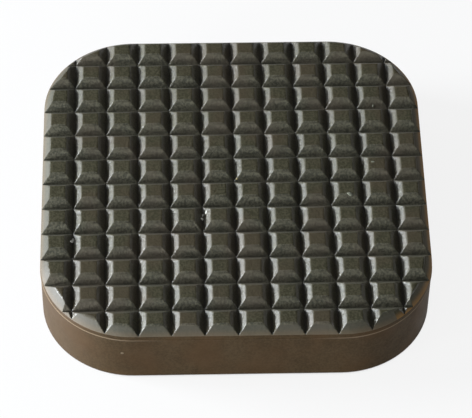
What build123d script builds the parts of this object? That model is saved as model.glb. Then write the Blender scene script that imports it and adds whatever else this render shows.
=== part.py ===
from build123d import *
import math
import os

# A square pad for the saddle of a jack, moulded in one piece of hard rubber: a thick block with
# rounded corners, a tread of flat-topped pyramids on its upper face, and a fine parting line
# round its wall. The underside is flat. +Z points up out of the tread, +X along the pad's length,
# and the origin is at the middle of the underside. Lengths are in millimetres.

# Block
pad_length = 119.6
pad_width = 119.6
pad_height = 22.3
corner_radius = 28.4
base_edge_chamfer = 0.5

# Tread: V grooves cross at right angles, and the bevel round the top edge is the outer half of a
# groove that runs a little deeper, so that every groove ends in the bevel just above the wall. The
# wall stands inside the line of that outer groove by the trim.
pyramids_along = 12
pyramids_across = 12
rim_trim = 0.2
groove_width = 4.8
groove_depth = 2.4
bevel_land = 0.05
tread_edge_radius = 1.7

# Parting line: a fine ridge of rubber where the two halves of the mould met
parting_drop = 1.8
parting_thickness = 0.6
parting_proud = 0.15

# The groove cutters run this far past the pad
overrun = 5.0

# Sizes that follow
pitch_along = (pad_length + 2 * rim_trim) / pyramids_along
pitch_across = (pad_width + 2 * rim_trim) / pyramids_across
groove_half = groove_width / 2
groove_slope = math.atan2(groove_depth, groove_half)
bevel_depth = groove_depth + bevel_land
bevel_taper = 90 - math.degrees(groove_slope)
wall_height = pad_height - bevel_depth
parting_height = wall_height - parting_drop
parting_half = parting_thickness / 2
parting_taper = math.degrees(math.atan2(parting_proud, parting_half))


def pad_outline(level, proud=0):
    """The rounded square of the pad at a height, grown by how far it stands proud."""
    with BuildSketch(Plane.XY.offset(level)) as outline:
        RectangleRounded(pad_length + 2 * proud, pad_width + 2 * proud, corner_radius + proud)
    return outline.sketch


# Section of one groove: a V whose shoulders run into the tops in small arcs
tangent_length = tread_edge_radius * math.tan(groove_slope / 2)
arc_start = (
    groove_half - tangent_length * math.cos(groove_slope),
    pad_height - tangent_length * math.sin(groove_slope),
)
arc_end = (groove_half + tangent_length, pad_height)
with BuildSketch() as groove:
    with BuildLine():
        slope = Line((0, pad_height - groove_depth), arc_start)
        TangentArc(arc_start, arc_end, tangent=slope % 1)
        Polyline(arc_end, (arc_end[0], pad_height + overrun), (0, pad_height + overrun))
        mirror(about=Plane.YZ)
    make_face()

# The pad: a straight wall under the bevel, the parting line round it, and the tread cut last
with BuildPart() as pad:
    extrude(pad_outline(0), amount=wall_height)
    extrude(pad_outline(wall_height), amount=bevel_depth, taper=bevel_taper)
    fillet(pad.faces().sort_by(Axis.Z)[-1].edges(), tread_edge_radius)
    chamfer(pad.faces().sort_by(Axis.Z)[0].edges(), base_edge_chamfer)

    # The parting line is thickest at its middle and runs out into the wall above and below
    ridge = pad_outline(parting_height, parting_proud)
    extrude(ridge, amount=parting_half, taper=parting_taper)
    extrude(ridge, amount=-parting_half, taper=parting_taper)

    # Grooves between the columns of pyramids, then between the rows
    with BuildSketch(Plane.XZ):
        with GridLocations(pitch_along, 0, pyramids_along - 1, 1):
            add(groove.sketch)
    extrude(amount=pad_width / 2 + overrun, both=True, mode=Mode.SUBTRACT)
    with BuildSketch(Plane.YZ):
        with GridLocations(pitch_across, 0, pyramids_across - 1, 1):
            add(groove.sketch)
    extrude(amount=pad_length / 2 + overrun, both=True, mode=Mode.SUBTRACT)

pad.part.label = "pad"
os.makedirs("parts", exist_ok=True)
export_step(pad.part, "parts/pad.step")
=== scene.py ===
import math
import random

import bmesh
import bpy
from mathutils import Matrix, Vector


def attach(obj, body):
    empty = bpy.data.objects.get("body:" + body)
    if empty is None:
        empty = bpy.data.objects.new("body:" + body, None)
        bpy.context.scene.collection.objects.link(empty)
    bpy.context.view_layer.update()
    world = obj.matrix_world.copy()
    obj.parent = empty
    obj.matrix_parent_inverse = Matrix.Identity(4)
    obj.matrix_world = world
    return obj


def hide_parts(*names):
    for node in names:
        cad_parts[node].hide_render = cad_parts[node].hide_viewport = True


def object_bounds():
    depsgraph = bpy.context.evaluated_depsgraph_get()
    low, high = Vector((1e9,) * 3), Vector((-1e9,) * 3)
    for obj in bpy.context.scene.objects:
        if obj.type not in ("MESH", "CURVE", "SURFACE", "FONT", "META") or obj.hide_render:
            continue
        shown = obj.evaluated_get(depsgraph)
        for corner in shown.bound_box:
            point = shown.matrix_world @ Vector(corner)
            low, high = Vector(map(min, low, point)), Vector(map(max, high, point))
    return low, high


# A moulded rubber jack pad on a pale floor, in metres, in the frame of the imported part: +Z up out of the
# tread, +X to the right and +Y away from the viewer, with the origin under the middle.

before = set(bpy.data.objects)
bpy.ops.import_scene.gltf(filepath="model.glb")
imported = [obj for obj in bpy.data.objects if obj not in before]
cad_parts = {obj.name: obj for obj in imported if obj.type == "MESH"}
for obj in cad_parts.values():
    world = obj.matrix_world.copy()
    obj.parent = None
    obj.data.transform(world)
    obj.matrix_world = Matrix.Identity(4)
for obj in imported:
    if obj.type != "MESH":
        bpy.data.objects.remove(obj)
cad_low, cad_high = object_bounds()

MM = 0.001

# Sizes of the pad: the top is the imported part's, and the others repeat the part's own sizes
PAD_TOP = cad_high.z
PAD_HALF = 59.8 * MM
CORNER_RADIUS = 28.4 * MM
PITCH = 10 * MM
GROOVE_DEPTH = 2.4 * MM
BEVEL_DEPTH = 2.45 * MM
PARTING_DROP = 1.8 * MM
PARTING_THICKNESS = 0.6 * MM
GROOVE_BOTTOM = PAD_TOP - GROOVE_DEPTH
WALL_TOP = PAD_TOP - BEVEL_DEPTH
PARTING_HEIGHT = WALL_TOP - PARTING_DROP
CORNER_CENTRE = PAD_HALF - CORNER_RADIUS

# The photograph's camera, aimed at the level of the groove bottoms: angles in degrees, lens and sensor in
# millimetres
CAMERA_AIM = Vector((0.40 * MM, -10.78 * MM, GROOVE_BOTTOM))
CAMERA_DISTANCE = 830.67 * MM
CAMERA_AZIMUTH = -2.1826
CAMERA_ELEVATION = 50.4751
CAMERA_ROLL = 0.9407
CAMERA_LENS = 204.25
SENSOR_WIDTH = 36.0
NEAREST_SEEN = 10 * MM

# Softboxes: azimuth and elevation in degrees, distance, width and height in metres. A level of 1 shows a
# colour as it is written on a face that looks straight at the lamp.
NEUTRAL = (1, 1, 1)
COOL = (0.95, 1.0, 1.06)
PALE = (0.97, 1.0, 1.01)
SOFTBOXES = {
    "window": dict(azimuth=-99, elevation=17.2, distance=1.20, size=(0.45, 0.13), level=2.40, tint=COOL),
    "window_near": dict(azimuth=-74, elevation=28, distance=1.20, size=(0.14, 0.14), level=0.08, tint=COOL),
    "corner": dict(azimuth=-60, elevation=5, distance=0.90, size=(0.20, 0.08), level=0.80, tint=COOL),
    "rim": dict(azimuth=-131, elevation=22, distance=1.20, size=(0.26, 0.20), level=0.11, tint=COOL),
    "front": dict(azimuth=-36, elevation=14, distance=0.70, size=(0.70, 0.14), level=0.64, tint=PALE),
    "front_high": dict(azimuth=0, elevation=38, distance=0.90, size=(0.60, 0.40), level=0.024),
    "right": dict(azimuth=90, elevation=10, distance=0.90, size=(0.40, 0.10), level=0.25),
    "back_right": dict(azimuth=138, elevation=28, distance=1.20, size=(0.30, 0.25), level=0.022),
    "back": dict(azimuth=180, elevation=12, distance=1.20, size=(0.60, 0.15), level=0.08),
    "ceiling": dict(azimuth=0, elevation=85, distance=0.90, size=(0.60, 0.60), level=0.07),
    "left_high": dict(azimuth=-88, elevation=45, distance=0.90, size=(0.20, 0.20), level=0.01),
}
WORLD_GREY = 0.030

# The floor glows for the camera and in reflections, by less where the pad closes it in, which paints a
# contact shadow at the pad's foot
FLOOR_SIZE = 6.0
FLOOR_GREY = 0.70
FLOOR_ROUGHNESS = 0.9
FLOOR_GLOW_SHARE = 0.86
CONTACT_REACH = 3 * MM
CONTACT_OPENNESS = (0.05, 0.55)
CONTACT_SAMPLES = 16

# Rubber: colours are linear, roughness runs between two values, and grain is the depth of the fine bump.
# A pyramid has slopes at its sides, to the left and right, and at its ends, to the front and back.
SIDE = dict(dark=(0.027, 0.026, 0.0135), light=(0.061, 0.056, 0.0305), warm=(0.056, 0.042, 0.025),
            roughness=(0.34, 0.44), specular=1.0, speckle=0.50, grain=0.175 * MM)
# The end slopes are lighter and bluer than the sides: painted sheen in place of the gloss their low
# specular gives up
END = dict(dark=(0.042, 0.0415, 0.0285), light=(0.088, 0.0835, 0.0575), warm=(0.080, 0.0655, 0.0470),
           roughness=(0.45, 0.55), specular=0.27, speckle=0.50, grain=0.175 * MM)
TOP = dict(dark=(0.041, 0.0390, 0.0240), light=(0.064, 0.0595, 0.0385), warm=(0.063, 0.0500, 0.0330),
           roughness=(0.65, 0.80), specular=0.0, speckle=0.50, grain=0.155 * MM)
RIM = dict(dark=(0.036, 0.034, 0.019), light=(0.048, 0.044, 0.025), warm=(0.050, 0.040, 0.024),
           roughness=(0.57, 0.64), specular=0.65, speckle=0.40, grain=0.080 * MM)
SHADED_RIM = dict(dark=(0.036, 0.033, 0.018), light=(0.048, 0.043, 0.024), warm=(0.054, 0.040, 0.022),
                  roughness=(0.57, 0.64), specular=0.2, speckle=0.40, grain=0.080 * MM)
# The wall's brown is a painted reflection of warm surroundings on the black rubber
WALL = dict(dark=(0.0375, 0.0240, 0.0112), light=(0.0575, 0.0375, 0.0180), warm=(0.0600, 0.0335, 0.0145),
            roughness=(0.55, 0.66), specular=0.08, speckle=0.22, grain=0.012 * MM)

# Noises, with scales in repeats per metre
MOTTLE = dict(scale=110, detail=6.0, roughness=0.7)
HUE = dict(scale=70, detail=2.0, roughness=0.5)
GRAIN = dict(scale=1400, detail=3.0, roughness=0.6)
GROOVE_SHADE_PATCHES = dict(scale=90, detail=3.0, roughness=0.6)
WALL_LIGHT_PATCHES = dict(scale=90, detail=6.0, roughness=0.7)
DIRT_GRAIN = dict(scale=2500, detail=3.0, roughness=0.6)

# Spans are the stretches of a noise over which a change runs, and shares how far it goes
SPECKLE_SPAN = (0.35, 0.65)
SHADE_SPAN = (0.15, 0.85)
WARM_SPAN = (0.40, 0.65)
WARM_SHARE = 0.65
POLISH_SPAN = (0.3, 0.7)
EDGE_RADIUS = 0.5 * MM
EDGE_SAMPLES = 8

# Rubbed shoulders of the pyramids, by how far their normals point up, and painted shade in patches low in
# the grooves
RUBBED = (0.075, 0.070, 0.048)
RUBBED_FROM = (0.74, 0.88)
RUBBED_UNTIL = (0.93, 0.995)
RUBBED_SHARE = 0.4
GROOVE_SHADE = (0.016, 0.015, 0.009)
GROOVE_SHADE_HEIGHT = 0.3 * GROOVE_DEPTH
GROOVE_SHADE_SPAN = (0.38, 0.62)
GROOVE_SHADE_SHARE = 0.7

# Painted brown reflection of warm surroundings at the foot of the bevel
BEVEL_BROWN_REFLECTION = (0.190, 0.105, 0.034)
BROWN_REFLECTION_HEIGHT = 1.6 * MM
RIM_REFLECTION_SHARE = 0.2
SHADED_RIM_REFLECTION_SHARE = 1.0

# Painted light that makes the wall paler and greyer at the left, and a painted highlight that makes the
# parting line paler round the corners
WALL_PAINTED_LIGHT = (0.068, 0.047, 0.031)
WALL_LIGHT_REACH = (-0.98 * PAD_HALF, -0.60 * PAD_HALF)
WALL_LIGHT_SPAN = (0.3, 0.7)
WALL_LIGHT_SHARES = (0.5, 0.9)
FLASH_HIGHLIGHT = (0.170, 0.128, 0.084)
FLASH_HIGHLIGHT_EDGE = (0.2 * PARTING_THICKNESS, 0.6 * PARTING_THICKNESS)
FLASH_HIGHLIGHT_CORNER = (0.6 * CORNER_CENTRE, 1.3 * CORNER_CENTRE)
FLASH_HIGHLIGHT_SHARE = 0.9

# The pad's surfaces, in the order of its materials
SIDE_SLOPE, TOP_FACE, BEVEL, SHADED_BEVEL, WALL_FACE, END_SLOPE = range(6)

# How far a normal points up, or to the right, where one surface gives way to the next
TOP_UPWARD = 0.95
FRONT_TOP_UPWARD = 0.998
SHOULDER_UPWARD = 0.85
SHADED_RIGHTWARD = 0.42

# Distances within which a face lies on the wall or the bevel and corners are welded, and the angle from
# which an edge is a crease
WALL_TOLERANCE = 0.01 * MM
BEVEL_TOLERANCE = 0.25 * MM
WELD_DISTANCE = 0.001 * MM
CREASE_ANGLE = math.radians(25)

# Each pyramid leans and stands a little differently, as moulded rubber does
CELL_LEAN = math.radians(0.30)
CELL_LIFT = 0.03 * MM
SEED = 12

# Specks of dirt that the photograph shows: place and size in millimetres, turn in degrees
DIRT = {
    "chalk": dict(dark=(0.60, 0.60, 0.53), light=(0.90, 0.90, 0.85)),
    "dust": dict(dark=(0.09, 0.095, 0.07), light=(0.16, 0.165, 0.12)),
    "grit": dict(dark=(0.24, 0.20, 0.09), light=(0.44, 0.38, 0.20)),
    "clay": dict(dark=(0.09, 0.065, 0.036), light=(0.15, 0.11, 0.062)),
}
SPECKS = (
    dict(dirt="chalk", place=(-8.9, -13.1, 21.0), length=1.60, width=0.70, height=0.40, turn=80),
    dict(dirt="chalk", place=(-9.9, -13.3, 20.0), length=1.00, width=0.60, height=0.60, turn=60),
    dict(dirt="chalk", place=(-10.2, -14.8, 20.1), length=1.20, width=0.90, height=0.70, turn=10),
    dict(dirt="chalk", place=(-50.3, -23.3, 20.3), length=1.20, width=0.70, height=1.00, turn=10),
    dict(dirt="chalk", place=(-49.9, -22.6, 20.0), length=1.40, width=0.70, height=1.00, turn=80),
    dict(dirt="grit", place=(1.0, 0.8, 20.7), length=0.75, width=0.60, height=0.30, turn=10),
    dict(dirt="dust", place=(45.4, 30.7, 20.6), length=1.00, width=0.65, height=0.25, turn=80),
    dict(dirt="dust", place=(35.9, -7.3, 22.3), length=1.90, width=1.30, height=0.18, turn=-30),
    dict(dirt="dust", place=(43.8, 5.8, 22.3), length=1.20, width=0.60, height=0.15, turn=0),
    dict(dirt="clay", place=(-35.0, -59.6, 11.7), length=1.00, width=0.90, height=0.20, turn=15),
)
SPECK_SUBDIVISIONS = 2
SPECK_JITTER = 0.25
DIRT_SPAN = (0.3, 0.7)
DIRT_ROUGHNESS = (0.7, 0.9)
DIRT_BUMP = 0.05 * MM


def direction(azimuth, elevation):
    """Unit vector from the object towards a place; azimuth 0 is in front of it and 90 to its right."""
    a = math.radians(azimuth)
    e = math.radians(elevation)
    return Vector((math.sin(a) * math.cos(e), -math.cos(a) * math.cos(e), math.sin(e)))


def link(obj):
    """Puts an object in the scene."""
    bpy.context.scene.collection.objects.link(obj)
    return obj


def make_camera():
    """The photograph's camera, turned about its line of sight by the roll."""
    back = direction(CAMERA_AZIMUTH, CAMERA_ELEVATION)
    right = (-back).cross(Vector((0, 0, 1))).normalized()
    up = right.cross(-back)
    roll = math.radians(CAMERA_ROLL)
    rolled_right = math.cos(roll) * right + math.sin(roll) * up
    rolled_up = math.cos(roll) * up - math.sin(roll) * right
    data = bpy.data.cameras.new("camera")
    data.sensor_width = SENSOR_WIDTH
    data.lens = CAMERA_LENS
    data.clip_start = NEAREST_SEEN
    camera = link(bpy.data.objects.new("camera", data))
    turn = Matrix((rolled_right, rolled_up, back)).transposed().to_4x4()
    camera.matrix_world = Matrix.Translation(CAMERA_AIM + CAMERA_DISTANCE * back) @ turn
    bpy.context.scene.camera = camera


def make_softbox(name, azimuth, elevation, distance, size, level, tint=NEUTRAL):
    """A soft lamp that looks at the middle of the pad."""
    data = bpy.data.lights.new(name, "AREA")
    data.color = tint
    data.shape = "RECTANGLE"
    data.size, data.size_y = size
    data.energy = level * (math.pi * distance) ** 2
    softbox = link(bpy.data.objects.new(name, data))
    towards = direction(azimuth, elevation)
    softbox.location = Vector((0, 0, WALL_TOP)) + distance * towards
    softbox.rotation_euler = towards.to_track_quat("Z", "Y").to_euler()


def make_world():
    """A dim, even light from all round."""
    world = bpy.data.worlds.new("studio")
    world.use_nodes = True
    background = world.node_tree.nodes["Background"]
    background.inputs["Color"].default_value = (WORLD_GREY, WORLD_GREY, WORLD_GREY, 1)
    background.inputs["Strength"].default_value = 1.0
    bpy.context.scene.world = world


def new_material(name):
    """A node material, its tree and its shader."""
    material = bpy.data.materials.new(name)
    material.use_nodes = True
    tree = material.node_tree
    return material, tree, tree.nodes["Principled BSDF"]


def set_socket(tree, socket, value):
    """Links a socket to another one, or sets it to a value."""
    if isinstance(value, bpy.types.NodeSocket):
        tree.links.new(value, socket)
    else:
        socket.default_value = value


def add_node(tree, kind, **settings):
    """A node of a tree; a setting is one of its inputs or else a property of its own."""
    node = tree.nodes.new(kind)
    for name, value in settings.items():
        socket = node.inputs.get(name)
        if socket is None:
            setattr(node, name, value)
        else:
            set_socket(tree, socket, value)
    return node


def add_math(tree, operation, *terms):
    """The result of one step of arithmetic on sockets or numbers."""
    node = add_node(tree, "ShaderNodeMath", operation=operation)
    for socket, term in zip(node.inputs, terms):
        set_socket(tree, socket, term)
    return node.outputs["Value"]


def add_range(tree, value, span, result=(0.0, 1.0)):
    """A value carried smoothly from one span to another."""
    node = add_node(tree, "ShaderNodeMapRange", interpolation_type="SMOOTHSTEP", Value=value)
    node.inputs["From Min"].default_value, node.inputs["From Max"].default_value = span
    node.inputs["To Min"].default_value, node.inputs["To Max"].default_value = result
    return node.outputs["Result"]


def add_mix(tree, factor, first, second):
    """Two colours mixed; each is a socket or three numbers."""
    node = add_node(tree, "ShaderNodeMix", data_type="RGBA", Factor=factor)
    colour_sockets = [socket for socket in node.inputs if socket.type == "RGBA"]
    for socket, colour in zip(colour_sockets, (first, second)):
        is_socket = isinstance(colour, bpy.types.NodeSocket)
        set_socket(tree, socket, colour if is_socket else (*colour, 1))
    return [socket for socket in node.outputs if socket.type == "RGBA"][0]


def add_place(tree):
    """The coordinates of a point in the pad's frame."""
    place = add_node(tree, "ShaderNodeTexCoord").outputs["Object"]
    return add_node(tree, "ShaderNodeSeparateXYZ", Vector=place).outputs


def add_noise(tree, scale, detail, roughness):
    """A noise in the pad's frame."""
    place = add_node(tree, "ShaderNodeTexCoord").outputs["Object"]
    noise = add_node(tree, "ShaderNodeTexNoise", Vector=place, Scale=scale, Detail=detail)
    noise.inputs["Roughness"].default_value = roughness
    return noise.outputs["Fac"]


def make_floor():
    """A pale floor that shows near white to the camera and in reflections and keeps the pad's shadow, with
    a painted contact shadow where the pad closes it in.
    """
    mesh = bpy.data.meshes.new("floor")
    half = FLOOR_SIZE / 2
    corners = [(-half, -half, 0), (half, -half, 0), (half, half, 0), (-half, half, 0)]
    mesh.from_pydata(corners, [], [(0, 1, 2, 3)])
    floor = link(bpy.data.objects.new("floor", mesh))
    material, tree, shader = new_material("pale_floor")
    shader.inputs["Base Color"].default_value = (FLOOR_GREY, FLOOR_GREY, FLOOR_GREY, 1)
    shader.inputs["Roughness"].default_value = FLOOR_ROUGHNESS
    shader.inputs["Specular IOR Level"].default_value = 0.0
    rays = add_node(tree, "ShaderNodeLightPath").outputs
    seen = add_math(tree, "MAXIMUM", rays["Is Camera Ray"], rays["Is Glossy Ray"])
    seen = add_math(tree, "MAXIMUM", seen, rays["Is Transmission Ray"])
    # Painted contact shadow: the glow fades where ambient occlusion finds the pad close by
    occlusion = add_node(
        tree, "ShaderNodeAmbientOcclusion", samples=CONTACT_SAMPLES, Distance=CONTACT_REACH
    )
    openness = add_range(tree, occlusion.outputs["AO"], CONTACT_OPENNESS)
    glow_share = add_math(tree, "MULTIPLY", add_math(tree, "MULTIPLY", seen, openness), FLOOR_GLOW_SHARE)
    glow = add_node(tree, "ShaderNodeEmission", Color=(1, 1, 1, 1), Strength=1.0)
    mix = add_node(tree, "ShaderNodeMixShader", Fac=glow_share)
    tree.links.new(shader.outputs["BSDF"], mix.inputs[1])
    tree.links.new(glow.outputs["Emission"], mix.inputs[2])
    tree.links.new(mix.outputs["Shader"], tree.nodes["Material Output"].inputs["Surface"])
    mesh.materials.append(material)


def rubber(name, dark, light, warm, roughness, specular, speckle, grain):
    """Moulded rubber: mottled in shade and hue, with a roughness that follows it and a fine grain."""
    material, tree, shader = new_material(name)
    mottle = add_noise(tree, **MOTTLE)
    fine = add_noise(tree, **GRAIN)
    specked = add_range(tree, fine, SPECKLE_SPAN, (-speckle, speckle))
    shade = add_range(tree, add_math(tree, "ADD", mottle, specked), SHADE_SPAN)
    warmth = add_range(tree, add_noise(tree, **HUE), WARM_SPAN, (0.0, WARM_SHARE))
    colour = add_mix(tree, warmth, add_mix(tree, shade, dark, light), warm)
    tree.links.new(colour, shader.inputs["Base Color"])
    smoothest, roughest = roughness
    polish = add_range(tree, mottle, POLISH_SPAN, (roughest, smoothest))
    tree.links.new(polish, shader.inputs["Roughness"])
    rounded = add_node(tree, "ShaderNodeBevel", samples=EDGE_SAMPLES, Radius=EDGE_RADIUS).outputs["Normal"]
    bump = add_node(tree, "ShaderNodeBump", Strength=1.0, Distance=grain, Height=fine, Normal=rounded)
    tree.links.new(bump.outputs["Normal"], shader.inputs["Normal"])
    shader.inputs["Specular IOR Level"].default_value = specular
    return material, tree, shader


def lay_over(tree, shader, mask, colour):
    """Lays a second colour over a shader's own where a mask is set."""
    base = shader.inputs["Base Color"].links[0].from_socket
    tree.links.new(add_mix(tree, mask, base, colour), shader.inputs["Base Color"])


def slope_rubber(name, finish):
    """A pyramid's slopes: olive black, with the shoulders rubbed paler and painted shade in patches low in
    the grooves.
    """
    material, tree, shader = rubber(name, **finish)
    normal = add_node(tree, "ShaderNodeTexCoord").outputs["Normal"]
    upward = add_node(tree, "ShaderNodeSeparateXYZ", Vector=normal).outputs["Z"]
    rub_starts = add_range(tree, upward, RUBBED_FROM, (0.0, RUBBED_SHARE))
    rub_ends = add_range(tree, upward, RUBBED_UNTIL, (1.0, 0.0))
    lay_over(tree, shader, add_math(tree, "MULTIPLY", rub_starts, rub_ends), RUBBED)
    # Painted shade: darker in patches towards the groove bottoms, where the neighbours' shadow falls
    low = add_range(tree, add_place(tree)["Z"], (GROOVE_BOTTOM, GROOVE_BOTTOM + GROOVE_SHADE_HEIGHT), (1.0, 0.0))
    patchy_shade = add_range(tree, add_noise(tree, **GROOVE_SHADE_PATCHES), GROOVE_SHADE_SPAN, (0.0, GROOVE_SHADE_SHARE))
    lay_over(tree, shader, add_math(tree, "MULTIPLY", low, patchy_shade), GROOVE_SHADE)
    return material


def rim_rubber(name, finish, reflection_share):
    """The bevel round the tread: near the tread's colour, with a painted brown reflection of warm
    surroundings at its foot.
    """
    material, tree, shader = rubber(name, **finish)
    # Painted reflection: brown at the foot of the bevel, fading upwards
    reflected_brown = add_range(tree, add_place(tree)["Z"], (WALL_TOP, WALL_TOP + BROWN_REFLECTION_HEIGHT), (reflection_share, 0.0))
    lay_over(tree, shader, reflected_brown, BEVEL_BROWN_REFLECTION)
    return material


def wall_rubber():
    """The wall: painted brown as a reflection of warm surroundings on the black rubber, with painted light
    that makes it paler and greyer at the left, and a painted highlight that makes the parting line paler
    where it runs round the corners.
    """
    material, tree, shader = rubber("wall_rubber", **WALL)
    place = add_place(tree)
    # Painted light: the wall paler towards the left, on the side that faces the window light
    left = add_range(tree, place["X"], WALL_LIGHT_REACH, (1.0, 0.0))
    lit_patches = add_range(tree, add_noise(tree, **WALL_LIGHT_PATCHES), WALL_LIGHT_SPAN, WALL_LIGHT_SHARES)
    lay_over(tree, shader, add_math(tree, "MULTIPLY", left, lit_patches), WALL_PAINTED_LIGHT)
    # Painted highlight: the parting line paler round the corners, where its lip catches the light
    from_line = add_math(tree, "ABSOLUTE", add_math(tree, "SUBTRACT", place["Z"], PARTING_HEIGHT))
    on_line = add_range(tree, from_line, FLASH_HIGHLIGHT_EDGE, (FLASH_HIGHLIGHT_SHARE, 0.0))
    across = add_math(tree, "ABSOLUTE", place["X"])
    along = add_math(tree, "ABSOLUTE", place["Y"])
    at_corner = add_range(tree, add_math(tree, "MINIMUM", across, along), FLASH_HIGHLIGHT_CORNER)
    lay_over(tree, shader, add_math(tree, "MULTIPLY", on_line, at_corner), FLASH_HIGHLIGHT)
    return material


def pad_materials():
    """The pad's rubbers, in the order of its surfaces."""
    return (
        slope_rubber("tread_rubber", SIDE),
        rubber("top_rubber", **TOP)[0],
        rim_rubber("rim_rubber", RIM, RIM_REFLECTION_SHARE),
        rim_rubber("shaded_rim_rubber", SHADED_RIM, SHADED_RIM_REFLECTION_SHARE),
        wall_rubber(),
        slope_rubber("end_rubber", END),
    )


def depth_inside(point):
    """How far a point lies inside the pad's outline, seen from above."""
    x = abs(point.x) - CORNER_CENTRE
    y = abs(point.y) - CORNER_CENTRE
    return CORNER_RADIUS - math.hypot(max(x, 0), max(y, 0)) - min(max(x, y), 0)


def surface_of(face):
    """Which of the pad's surfaces a face belongs to; the gloss reaches furthest up at a pyramid's front."""
    if face.calc_center_median().z < WALL_TOP - WALL_TOLERANCE:
        return WALL_FACE
    faces_viewer = face.normal.y < -abs(face.normal.x)
    if face.normal.z > (FRONT_TOP_UPWARD if faces_viewer else TOP_UPWARD):
        return TOP_FACE
    off_bevel = max(abs(vert.co.z - WALL_TOP - depth_inside(vert.co)) for vert in face.verts)
    if off_bevel > BEVEL_TOLERANCE or face.normal.z > SHOULDER_UPWARD:
        return SIDE_SLOPE if abs(face.normal.x) > abs(face.normal.y) else END_SLOPE
    return SHADED_BEVEL if face.normal.x > SHADED_RIGHTWARD else BEVEL


def lean_pyramids(bm):
    """Tips and lifts each pyramid a little, by more the higher above the groove bottoms."""
    chance = random.Random(SEED)
    leans = {}
    for vert in bm.verts:
        rise = (vert.co.z - GROOVE_BOTTOM) / GROOVE_DEPTH
        if rise <= 0:
            continue
        cell = (math.floor(vert.co.x / PITCH), math.floor(vert.co.y / PITCH))
        if cell not in leans:
            leans[cell] = [chance.uniform(-1, 1) for _ in range(3)]
        lean_x, lean_y, lift = leans[cell]
        from_x = vert.co.x - (cell[0] + 0.5) * PITCH
        from_y = vert.co.y - (cell[1] + 0.5) * PITCH
        vert.co.z += rise * (CELL_LEAN * (lean_x * from_x + lean_y * from_y) + CELL_LIFT * lift)


def build_pad():
    """The pad with its own mesh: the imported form, welded, with crisp creases and soft shoulders."""
    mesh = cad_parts["pad"].data.copy()
    mesh.name = "pad_rubber"
    mesh.materials.clear()
    for material in pad_materials():
        mesh.materials.append(material)
    bm = bmesh.new()
    bm.from_mesh(mesh)
    bmesh.ops.remove_doubles(bm, verts=bm.verts, dist=WELD_DISTANCE)
    bm.normal_update()
    for face in bm.faces:
        face.smooth = True
        face.material_index = surface_of(face)
    for edge in bm.edges:
        edge.smooth = len(edge.link_faces) == 2 and edge.calc_face_angle() < CREASE_ANGLE
    lean_pyramids(bm)
    bm.to_mesh(mesh)
    bm.free()
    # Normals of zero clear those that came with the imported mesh
    mesh.normals_split_custom_set([(0, 0, 0)] * len(mesh.loops))
    pad = link(bpy.data.objects.new("pad_rubber", mesh))
    weighted = pad.modifiers.new("weighted_normals", "WEIGHTED_NORMAL")
    weighted.keep_sharp = True
    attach(pad, "root")
    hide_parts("pad")
    return pad


def dirt_material(name, dark, light):
    """Dry dirt: uneven in shade, matt and rough."""
    material, tree, shader = new_material(name)
    noise = add_noise(tree, **DIRT_GRAIN)
    shade = add_range(tree, noise, DIRT_SPAN)
    tree.links.new(add_mix(tree, shade, dark, light), shader.inputs["Base Color"])
    smoothest, roughest = DIRT_ROUGHNESS
    polish = add_range(tree, noise, DIRT_SPAN, (roughest, smoothest))
    tree.links.new(polish, shader.inputs["Roughness"])
    bump = add_node(tree, "ShaderNodeBump", Strength=1.0, Distance=DIRT_BUMP, Height=noise)
    tree.links.new(bump.outputs["Normal"], shader.inputs["Normal"])
    return material


def add_speck(bm, chance, pad, dirt, place, length, width, height, turn):
    """A flattened, uneven grain that sits half sunk in the pad's surface."""
    depsgraph = bpy.context.evaluated_depsgraph_get()
    _, seat, normal, _ = pad.closest_point_on_mesh(MM * Vector(place), depsgraph=depsgraph)
    along = Vector((1, 0, 0)).cross(normal).cross(normal).normalized()
    along.rotate(Matrix.Rotation(math.radians(turn), 3, normal))
    across = normal.cross(along)
    grain = bmesh.ops.create_icosphere(bm, subdivisions=SPECK_SUBDIVISIONS, radius=MM / 2)["verts"]
    material_index = list(DIRT).index(dirt)
    for vert in grain:
        vert.co *= chance.uniform(1 - SPECK_JITTER, 1 + SPECK_JITTER)
        shaped = length * vert.co.x * along + width * vert.co.y * across
        vert.co = seat + shaped + height * vert.co.z * normal
        for face in vert.link_faces:
            face.material_index = material_index
            face.smooth = True


def build_specks(pad):
    """All specks of dirt as one piece that rides with the pad."""
    chance = random.Random(SEED)
    mesh = bpy.data.meshes.new("specks")
    for name, colours in DIRT.items():
        mesh.materials.append(dirt_material(name, **colours))
    bm = bmesh.new()
    for speck in SPECKS:
        add_speck(bm, chance, pad, **speck)
    bmesh.ops.recalc_face_normals(bm, faces=bm.faces)
    bm.to_mesh(mesh)
    bm.free()
    specks = link(bpy.data.objects.new("specks", mesh))
    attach(specks, "root")


bpy.context.scene.view_settings.view_transform = "Standard"
make_camera()
make_world()
make_floor()
for softbox_name, softbox in SOFTBOXES.items():
    make_softbox(softbox_name, **softbox)
build_specks(build_pad())
